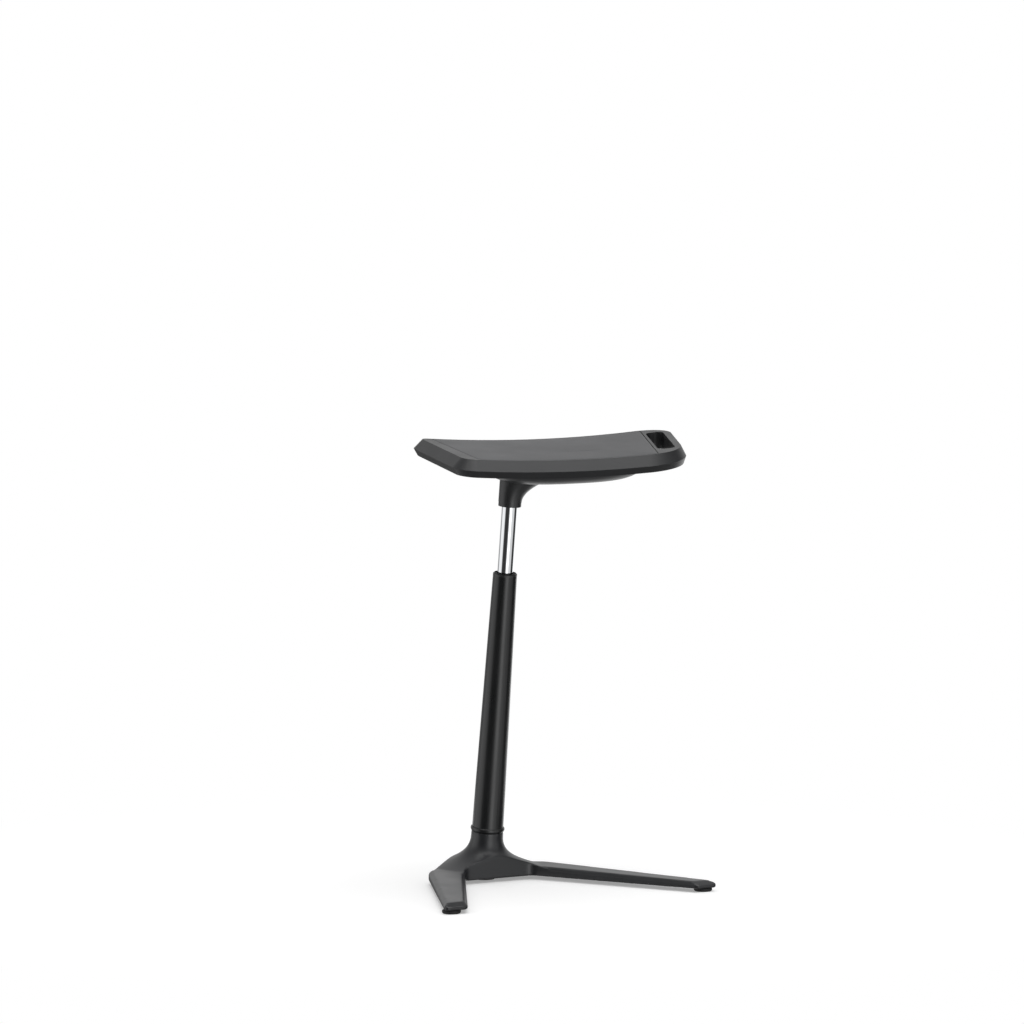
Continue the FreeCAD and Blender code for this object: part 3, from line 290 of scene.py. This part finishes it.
# Black paint on the pressed steel of the lever: satin and nearly smooth
LEVER_BLACK = Finish("painted_steel", Surface.POWDER_COATED, "#1f2022", "#242527", 0.38,
                     grain_mm=1.0, relief_mm=0.01)

SLOT_FINISH = {
    "cast_black": CAST_BLACK,
    "tube_black": TUBE_BLACK,
    "plastic_black": NYLON_BLACK,
    "shell_plastic": SHELL_BLACK,
    "pad_skin": PAD_BLACK,
    "glide_rubber": RUBBER_BLACK,
    "bush_plastic": ACETAL_BLACK,
    "steel": STEEL,
    "steel_black": LEVER_BLACK,
    "chrome_tube": CHROME,
    "brass_valve": BRASS,
}

# Edge width in millimetres of the nodes whose sharp edges are broken
BROKEN_EDGES = {
    "seat_shell": 1.2,
    "seat_carrier": 0.6,
    "column_tube": 0.3,
    "column_cap": 0.3,
    "release_lever": 0.4,
    "foot_glide_right": 0.3,
    "foot_glide_left": 0.3,
}


@dataclass
class Wardrobe:
    """The materials, each made once, and the dressing of the modelled pieces."""

    edge_segments: int = 3
    sharp_from_degrees: float = 28.0
    casting_grid_mm: float = 1.6
    casting_rounds: int = 8
    casting_factor: float = 0.5
    made: dict[str, bpy.types.Material] = field(default_factory=dict)

    def material(self, slot: str) -> bpy.types.Material:
        """Material of one slot, made on first use."""
        if slot not in self.made:
            self.made[slot] = SLOT_FINISH[slot].material()
        return self.made[slot]

    def dress(self, item: bpy.types.Object, slot: str) -> None:
        """Give an object the slot's material alone.

        Args:
            item: Mesh object.
            slot: Name of the record's material slot.
        """
        item.data.materials.clear()
        item.data.materials.append(self.material(slot))

    def dress_frame(self, frame: dict) -> None:
        """Dress every modelled node and break the sharp edges of those that need it.

        Args:
            frame: What the frame's load returned.
        """
        slots = {part["node"]: part["material_slot"] for part in frame["record"]["subparts"]}
        for name, item in frame["nodes"].items():
            self.dress(item, slots[name])
            if name in BROKEN_EDGES:
                bevel = item.modifiers.new("broken_edges", "BEVEL")
                bevel.width = BROKEN_EDGES[name] * MM
                bevel.segments = self.edge_segments
                bevel.limit_method = "ANGLE"
                bevel.angle_limit = math.radians(self.sharp_from_degrees)
                bevel.harden_normals = False
            LOG.info("dressed %s in %s", name, slots[name])

    def soften_casting(self, item: bpy.types.Object) -> None:
        """Give a cast piece the soft edges and blended corners of its mould.

        Args:
            item: The casting.
        """
        even = item.modifiers.new("even_mesh", "REMESH")
        even.mode = "VOXEL"
        even.voxel_size = self.casting_grid_mm * MM
        even.use_smooth_shade = True
        soft = item.modifiers.new("soft_corners", "SMOOTH")
        soft.factor = self.casting_factor
        soft.iterations = self.casting_rounds


@dataclass
class SeatFrame:
    """Where the seat's own axes lie: X along the seat to its hand slot, Y to its wide edge.

    Lengths are in millimetres and angles in degrees, and all are those of the modelled seat.
    """

    lean: float = 7.6
    turn: float = 76.0
    offset: float = 74.0
    level: float = 633.2
    pitch_long: float = 3.8
    pitch_cross: float = 0.96

    def matrix(self) -> Matrix:
        """Build the matrix from the seat's millimetres to the stool's metres.

        Returns:
            Lean and turn of the column, then the seat's place on it and its own tilt.
        """
        lean = Matrix.Rotation(math.radians(self.lean), 4, "Y")
        turn = Matrix.Rotation(math.radians(self.turn), 4, "Z")
        shift = Matrix.Translation((self.offset, 0, self.level))
        along = Matrix.Rotation(math.radians(-self.pitch_long), 4, "Y")
        across = Matrix.Rotation(math.radians(-self.pitch_cross), 4, "X")
        return Matrix.Scale(MM, 4) @ lean @ turn @ shift @ along @ across


@dataclass
class SeatPad:
    """Soft pad let into the seat: crowned, with a rolled rim that closes on the recess.

    Lengths are in millimetres. The wall and crown ends are given in widths of the rolled rim.
    """

    depth_half: float = 101.5
    rise_span: float = 180.5
    rise_far: float = 8.6
    rise_near: float = 8.5
    gap: float = 2.5
    left_x: float = 160.9
    left_slope: float = 0.0749
    right_x: float = 129.43
    right_slope: float = 0.19
    left_corner_near: float = 11.0
    left_corner_far: float = 6.4
    right_corner: float = 3.7
    thickness: float = 8.0
    crown: float = 0.7
    crown_reach: float = 14.0
    crown_end: float = 1.5
    roll: float = 1.6
    roll_shoulder: float = 0.29
    wall_end: float = 1.9
    flat_start: float = 2.0
    ring_insets: tuple[float, ...] = (9.0, 18.0, 32.0, 50.0, 70.0)
    spacing: float = 5.0

    def height(self, x: float, y: float) -> float:
        """Height of the saddle surface at a plan point.

        Args:
            x: Plan place along the seat.
            y: Plan place across the seat.

        Returns:
            Millimetres above the seat's own level.
        """
        far = (y + self.depth_half) / (2 * self.depth_half)
        rise = self.rise_near + (self.rise_far - self.rise_near) * far
        return rise * (x / self.rise_span) ** 2

    def left(self, y: float) -> float:
        """Plan place of the pad's left side at a depth."""
        return -(self.left_x + self.left_slope * y)

    def right(self, y: float) -> float:
        """Plan place of the pad's side along the hand slot at a depth."""
        return self.right_x + self.right_slope * y

    def edge_distance(self, x: float, y: float) -> float:
        """Distance from a plan point to the pad's outline, positive inside.

        Args:
            x: Plan place along the seat.
            y: Plan place across the seat.

        Returns:
            Millimetres to the nearest side.
        """
        across = self.depth_half - self.gap - abs(y)
        left = (x - self.left(y)) / math.hypot(1, self.left_slope)
        right = (self.right(y) - x) / math.hypot(1, self.right_slope)
        return min(across, left, right)

    def outline(self) -> list[Vector]:
        """Plan points of the rim, anticlockwise, with its round corners.

        Returns:
            Closely spaced points, in millimetres.
        """
        depth = self.depth_half - self.gap
        corners = [Vector((self.left(-depth), -depth, 0)), Vector((self.right(-depth), -depth, 0)),
                   Vector((self.right(depth), depth, 0)), Vector((self.left(depth), depth, 0))]
        radii = [self.left_corner_near, self.right_corner, self.right_corner, self.left_corner_far]
        return rounded_loop(corners, radii, self.spacing)

    def profile(self) -> list[Span]:
        """Section of the pad from its underside, up the rolled rim and across the top.

        Returns:
            How far in from the rim each ring lies, and how far above the saddle surface.
        """
        shoulder = self.roll * self.roll_shoulder
        rim = [(0.0, -self.thickness), (0.0, -self.roll * self.wall_end), (0.0, -self.roll),
               (shoulder, -shoulder), (self.roll, 0.0), (self.roll + self.flat_start, 0.0)]
        return rim + [(inset, 0.0) for inset in self.ring_insets]

    def crown_lift(self, x: float, y: float) -> float:
        """How far the crown lifts the skin at a plan point.

        Args:
            x: Plan place along the seat.
            y: Plan place across the seat.

        Returns:
            Millimetres above the saddle surface.
        """
        inside = max(self.edge_distance(x, y), 0.0)
        return self.crown * (1 - math.exp(-inside / self.crown_reach))

    def mesh(self, matrix: Matrix) -> bpy.types.Object:
        """Build the pad as rings that run in from the rim to a filled middle.

        Args:
            matrix: From the seat's millimetres to the stool's metres.

        Returns:
            The pad object.
        """
        rim = self.outline()
        form = bmesh.new()
        rings = []
        for inward, drop in self.profile():
            crowned = drop > -self.roll * self.crown_end
            ring = []
            for point in inward_loop(rim, inward):
                lift = self.crown_lift(point.x, point.y) if crowned else 0.0
                level = self.height(point.x, point.y) + drop + lift
                ring.append(form.verts.new(matrix @ Vector((point.x, point.y, level))))
            rings.append(ring)
        count = len(rim)
        for low, high in zip(rings, rings[1:]):
            for i in range(count):
                j = (i + 1) % count
                form.faces.new((low[i], low[j], high[j], high[i]))
        form.faces.new(list(reversed(rings[0])))
        form.faces.new(rings[-1])
        bmesh.ops.recalc_face_normals(form, faces=form.faces)
        return finished_mesh("seat_pad_skin", form)

    def fit(self, wardrobe: Wardrobe) -> None:
        """Build the pad, dress it and put it on the seat in place of the solid one.

        Args:
            wardrobe: The materials.
        """
        pad = self.mesh(SeatFrame().matrix())
        wardrobe.dress(pad, "pad_skin")
        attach(pad, "seat")
        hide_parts("seat_pad")
        LOG.info("made %s", pad.name)


def rounded_loop(corners: Sequence[Vector], radii: Sequence[float], spacing: float,
                 arc_steps: int = 8) -> list[Vector]:
    """Points round a polygon whose corners are arcs.

    Args:
        corners: Plan corners, anticlockwise.
        radii: Radius of each corner.
        spacing: Distance aimed at between points on the straight sides.
        arc_steps: Steps in each corner's arc.

    Returns:
        The points, in order.
    """
    arcs = []
    count = len(corners)
    for i, here in enumerate(corners):
        before = (corners[i - 1] - here).normalized()
        after = (corners[(i + 1) % count] - here).normalized()
        half = before.angle(after) / 2
        reach = radii[i] / math.tan(half)
        centre = here + (before + after).normalized() * (radii[i] / math.sin(half))
        start, end = here + before * reach, here + after * reach
        first = math.atan2(start.y - centre.y, start.x - centre.x)
        sweep = math.atan2(end.y - centre.y, end.x - centre.x) - first
        sweep = (sweep + math.pi) % (2 * math.pi) - math.pi
        arcs.append([centre + Vector((math.cos(first + sweep * k / arc_steps),
                                      math.sin(first + sweep * k / arc_steps), 0)) * radii[i]
                     for k in range(arc_steps + 1)])
    points: list[Vector] = []
    for i, arc in enumerate(arcs):
        points += arc
        span = arcs[(i + 1) % count][0] - arc[-1]
        pieces = max(1, int(span.length / spacing))
        points += [arc[-1] + span * (k / pieces) for k in range(1, pieces)]
    return points


def inward_loop(loop: Sequence[Vector], distance: float) -> list[Vector]:
    """The loop shrunk towards its middle, so that its outermost sides move in by a distance.

    Args:
        loop: Plan points, anticlockwise.
        distance: How far to draw the sides in.

    Returns:
        As many points, drawn in.
    """
    if distance == 0:
        return [p.copy() for p in loop]
    low_x, high_x = min(p.x for p in loop), max(p.x for p in loop)
    low_y, high_y = min(p.y for p in loop), max(p.y for p in loop)
    mid_x, mid_y = (low_x + high_x) / 2, (low_y + high_y) / 2
    share_x = 1 - distance / ((high_x - low_x) / 2)
    share_y = 1 - distance / ((high_y - low_y) / 2)
    return [Vector((mid_x + (p.x - mid_x) * share_x, mid_y + (p.y - mid_y) * share_y, 0))
            for p in loop]


def finished_mesh(name: str, form: bmesh.types.BMesh) -> bpy.types.Object:
    """Turn a mesh in the making into a linked object that shades smoothly.

    Args:
        name: Name of the piece.
        form: The mesh in the making, freed here.

    Returns:
        The object.
    """
    mesh = bpy.data.meshes.new(name)
    form.to_mesh(mesh)
    form.free()
    for face in mesh.polygons:
        face.use_smooth = True
    item = bpy.data.objects.new(name, mesh)
    bpy.context.scene.collection.objects.link(item)
    return item


def aim(item: bpy.types.Object, place: tuple[float, float, float], way: Vector) -> None:
    """Stand a lamp or camera somewhere, turn it, and link it.

    Args:
        item: Lamp or camera.
        place: Where it stands, in metres.
        way: The direction it looks in.
    """
    item.location = place
    item.rotation_mode = "QUATERNION"
    item.rotation_quaternion = way.to_track_quat("-Z", "Y")
    bpy.context.scene.collection.objects.link(item)


@dataclass
class Room:
    """Plain studio: white surroundings, light panels, a lamp, a pale floor and the camera.

    Lengths are in metres and angles in degrees. Panels are pairs of an angle from the camera's
    side, positive to its right, and the brightness there. Bands are spans of the upward part of
    a ray's direction over which one brightness fades into another.
    """

    eye: tuple[float, float, float] = (4.9732, -2.9175, 0.8245)
    look: tuple[float, float] = (-0.85896, 0.51204)
    pitch: float = -2.9
    focal_px: float = 4000.0
    frame_px: float = 1024.0
    sensor_mm: float = 36.0
    sight: float = 100.0

    ambient: float = 0.55
    front_panels: Stops = (
        (-108, 1.2), (-66, 1.1), (-54, 0.05), (-6, 0.04), (8, 0.7), (16, 2.6), (32, 2.6),
        (42, 0.9), (80, 0.8), (88, 0.05), (128, 0.05))
    high_left: Stops = ((-180, 0.85), (-150, 0.6), (-122, 0.4))
    high_right: Stops = ((138, 0.85), (180, 0.85))
    low_left: Stops = ((-180, 1.4), (-172, 0.2), (-125, 0.2))
    low_right: Stops = ((140, 1.4), (180, 1.4))
    low_band: Span = (-0.12, -0.03)
    roof_band: Span = (0.35, 0.75)
    roof_level: float = 0.42
    below_band: Span = (-0.65, -0.4)
    below_level: float = 0.3

    floor_radius: float = 1.05
    floor_segments: int = 96
    floor_colour: str = "#e6e6e6"
    floor_lift: float = 0.3
    floor_fade: Span = (0.45, 1.0)
    sweep_fade: Span = (0.2, 0.6)
    sweep_level: float = 1.3

    lamp_place: tuple[float, float, float] = (0.3, 0.2, 3.2)
    lamp_side: float = 2.6
    lamp_watts: float = 60.0
    lamp_gloss: float = 0.4
    lamp_target: tuple[float, float, float] = (0, 0, 0.35)

    def surroundings(self) -> None:
        """White background, with light panels and dark gaps round the room for gloss."""
        world = bpy.data.worlds.new("studio")
        bpy.context.scene.world = world
        tree = empty_tree(world)
        way = add_node(tree, "ShaderNodeTexCoord").outputs["Generated"]
        parts = add_node(tree, "ShaderNodeSeparateXYZ", inputs={"Vector": way})
        angle = add_node(tree, "ShaderNodeMath", {"operation": "ARCTAN2"}, {
            0: parts.outputs["Y"], 1: parts.outputs["X"]})
        # Angle round the room from the camera's side, positive to its right, as a share of a turn
        camera_side = math.atan2(self.eye[1], self.eye[0])
        share = add_node(tree, "ShaderNodeMath", {"operation": "MULTIPLY_ADD"}, {
            0: angle.outputs[0], 1: 1 / (2 * math.pi), 2: 0.5 - camera_side / (2 * math.pi)})
        turn = add_node(tree, "ShaderNodeMath", {"operation": "FRACT"}, {0: share.outputs[0]})
        high = self._panels(tree, turn.outputs[0], self.high_left, self.high_right)
        low = self._panels(tree, turn.outputs[0], self.low_left, self.low_right)
        under = add_node(tree, "ShaderNodeMapRange", inputs={
            "Value": parts.outputs["Z"], "To Min": 1.0, "To Max": 0.0,
            "From Min": self.low_band[0], "From Max": self.low_band[1]})
        walls = add_node(tree, "ShaderNodeMix", {"data_type": "RGBA"}, {
            MIX_SHARE: under.outputs["Result"], MIX_FIRST: high, MIX_SECOND: low})
        roof = add_node(tree, "ShaderNodeMapRange", inputs={
            "Value": parts.outputs["Z"], "To Min": 0.0, "To Max": 1.0,
            "From Min": self.roof_band[0], "From Max": self.roof_band[1]})
        roofed = add_node(tree, "ShaderNodeMix", {"data_type": "RGBA"}, {
            MIX_SHARE: roof.outputs["Result"], MIX_FIRST: walls.outputs[MIX_RESULT],
            MIX_SECOND: grey(self.roof_level)})
        # Straight below, gloss sees the floor in the stool's own shade
        below = add_node(tree, "ShaderNodeMapRange", inputs={
            "Value": parts.outputs["Z"], "To Min": 1.0, "To Max": 0.0,
            "From Min": self.below_band[0], "From Max": self.below_band[1]})
        gloss = add_node(tree, "ShaderNodeMix", {"data_type": "RGBA"}, {
            MIX_SHARE: below.outputs["Result"], MIX_FIRST: roofed.outputs[MIX_RESULT],
            MIX_SECOND: grey(self.below_level)})
        ray = add_node(tree, "ShaderNodeLightPath")
        fill = add_node(tree, "ShaderNodeMix", {"data_type": "RGBA"}, {
            MIX_SHARE: ray.outputs["Is Glossy Ray"], MIX_FIRST: grey(self.ambient),
            MIX_SECOND: gloss.outputs[MIX_RESULT]})
        seen = add_node(tree, "ShaderNodeMath", {"operation": "MAXIMUM"}, {
            0: ray.outputs["Is Camera Ray"], 1: ray.outputs["Is Transmission Ray"]})
        colour = add_node(tree, "ShaderNodeMix", {"data_type": "RGBA"}, {
            MIX_SHARE: seen.outputs[0], MIX_FIRST: fill.outputs[MIX_RESULT],
            MIX_SECOND: grey(1.0)})
        back = add_node(tree, "ShaderNodeBackground", inputs={"Color": colour.outputs[MIX_RESULT]})
        add_node(tree, "ShaderNodeOutputWorld", inputs={"Surface": back.outputs[0]})

    def _panels(self, tree: bpy.types.NodeTree, turn: bpy.types.NodeSocket, left: Stops,
                right: Stops) -> bpy.types.NodeSocket:
        """Ramp of the front panels with those behind the stool to the left and right of them.

        Args:
            tree: The world's nodes.
            turn: Share of a turn round the room.
            left: Panels from straight behind the stool to the front ones.
            right: Panels from the front ones to straight behind the stool.

        Returns:
            The ramp's colour.
        """
        ramp = add_node(tree, "ShaderNodeValToRGB", inputs={"Fac": turn})
        stops = left + self.front_panels + right
        fill_ramp(ramp, [(0.5 + angle / 360.0, grey(level)) for angle, level in stops])
        return ramp.outputs["Color"]

    def floor(self) -> None:
        """Pale floor that turns into the white surroundings away from the stool."""
        form = bmesh.new()
        bmesh.ops.create_circle(form, cap_ends=True, radius=self.floor_radius,
                                segments=self.floor_segments)
        floor = finished_mesh("floor", form)
        material = bpy.data.materials.new("pale_floor")
        tree = empty_tree(material)
        place = add_node(tree, "ShaderNodeTexCoord").outputs["Object"]
        reach = add_node(tree, "ShaderNodeVectorMath", {"operation": "LENGTH"}, {0: place})
        away = add_node(tree, "ShaderNodeMapRange", {"interpolation_type": "SMOOTHSTEP"}, {
            "Value": reach.outputs["Value"],
            "From Min": self.floor_fade[0], "From Max": self.floor_fade[1]})
        ray = add_node(tree, "ShaderNodeLightPath")
        matt = add_node(tree, "ShaderNodeBsdfDiffuse", inputs={"Color": linear(self.floor_colour)})
        lift = add_node(tree, "ShaderNodeEmission", inputs={
            "Color": grey(1.0), "Strength": self.floor_lift})
        near = add_node(tree, "ShaderNodeAddShader", inputs={
            0: matt.outputs[0], 1: lift.outputs[0]})
        white = add_node(tree, "ShaderNodeEmission", inputs={"Color": grey(1.0), "Strength": 1.0})
        spread = add_node(tree, "ShaderNodeMixShader", inputs={
            0: away.outputs["Result"], 1: near.outputs[0], 2: white.outputs[0]})
        # Gloss sees the white sweep behind the stool and, in front of it, the room's panels
        behind = add_node(tree, "ShaderNodeVectorMath", {"operation": "DOT_PRODUCT"}, {
            0: place, 1: (self.look[0], self.look[1], 0.0)})
        share = add_node(tree, "ShaderNodeMapRange", {"interpolation_type": "SMOOTHSTEP"}, {
            "Value": behind.outputs["Value"],
            "From Min": self.sweep_fade[0], "From Max": self.sweep_fade[1]})
        clear = add_node(tree, "ShaderNodeBsdfTransparent")
        bright = add_node(tree, "ShaderNodeEmission", inputs={
            "Color": grey(1.0), "Strength": self.sweep_level})
        sweep = add_node(tree, "ShaderNodeMixShader", inputs={
            0: share.outputs["Result"], 1: clear.outputs[0], 2: bright.outputs[0]})
        mirrored = add_node(tree, "ShaderNodeMixShader", inputs={
            0: ray.outputs["Is Glossy Ray"], 1: matt.outputs[0], 2: sweep.outputs[0]})
        shown = add_node(tree, "ShaderNodeMixShader", inputs={
            0: ray.outputs["Is Camera Ray"], 1: mirrored.outputs[0], 2: spread.outputs[0]})
        add_node(tree, "ShaderNodeOutputMaterial", inputs={"Surface": shown.outputs[0]})
        floor.data.materials.append(material)

    def lamp(self) -> None:
        """One broad square lamp overhead, aimed at the middle of the stool."""
        data = bpy.data.lights.new("overhead_lamp", "AREA")
        data.shape = "RECTANGLE"
        data.size = data.size_y = self.lamp_side
        data.energy = self.lamp_watts
        data.specular_factor = self.lamp_gloss
        item = bpy.data.objects.new("overhead_lamp", data)
        aim(item, self.lamp_place, Vector(self.lamp_target) - Vector(self.lamp_place))

    def camera(self) -> None:
        """Camera where the photograph was taken from."""
        data = bpy.data.cameras.new("camera")
        data.sensor_width = self.sensor_mm
        data.lens = self.focal_px / self.frame_px * data.sensor_width
        data.clip_end = self.sight
        item = bpy.data.objects.new("camera", data)
        tip = math.radians(self.pitch)
        level = math.cos(tip)
        aim(item, self.eye, Vector((self.look[0] * level, self.look[1] * level, math.sin(tip))))
        bpy.context.scene.camera = item


def main() -> None:
    """Load the frame, dress it, add the soft pad, and set the room."""
    logging.basicConfig(level=logging.INFO, format="%(name)s: %(message)s")
    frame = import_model()
    wardrobe = Wardrobe()
    wardrobe.dress_frame(frame)
    wardrobe.soften_casting(frame["nodes"]["foot_casting"])
    SeatPad().fit(wardrobe)
    room = Room()
    room.surroundings()
    room.floor()
    room.lamp()
    room.camera()
    bpy.context.scene.view_settings.view_transform = "Standard"


if __name__ == "__main__":
    main()
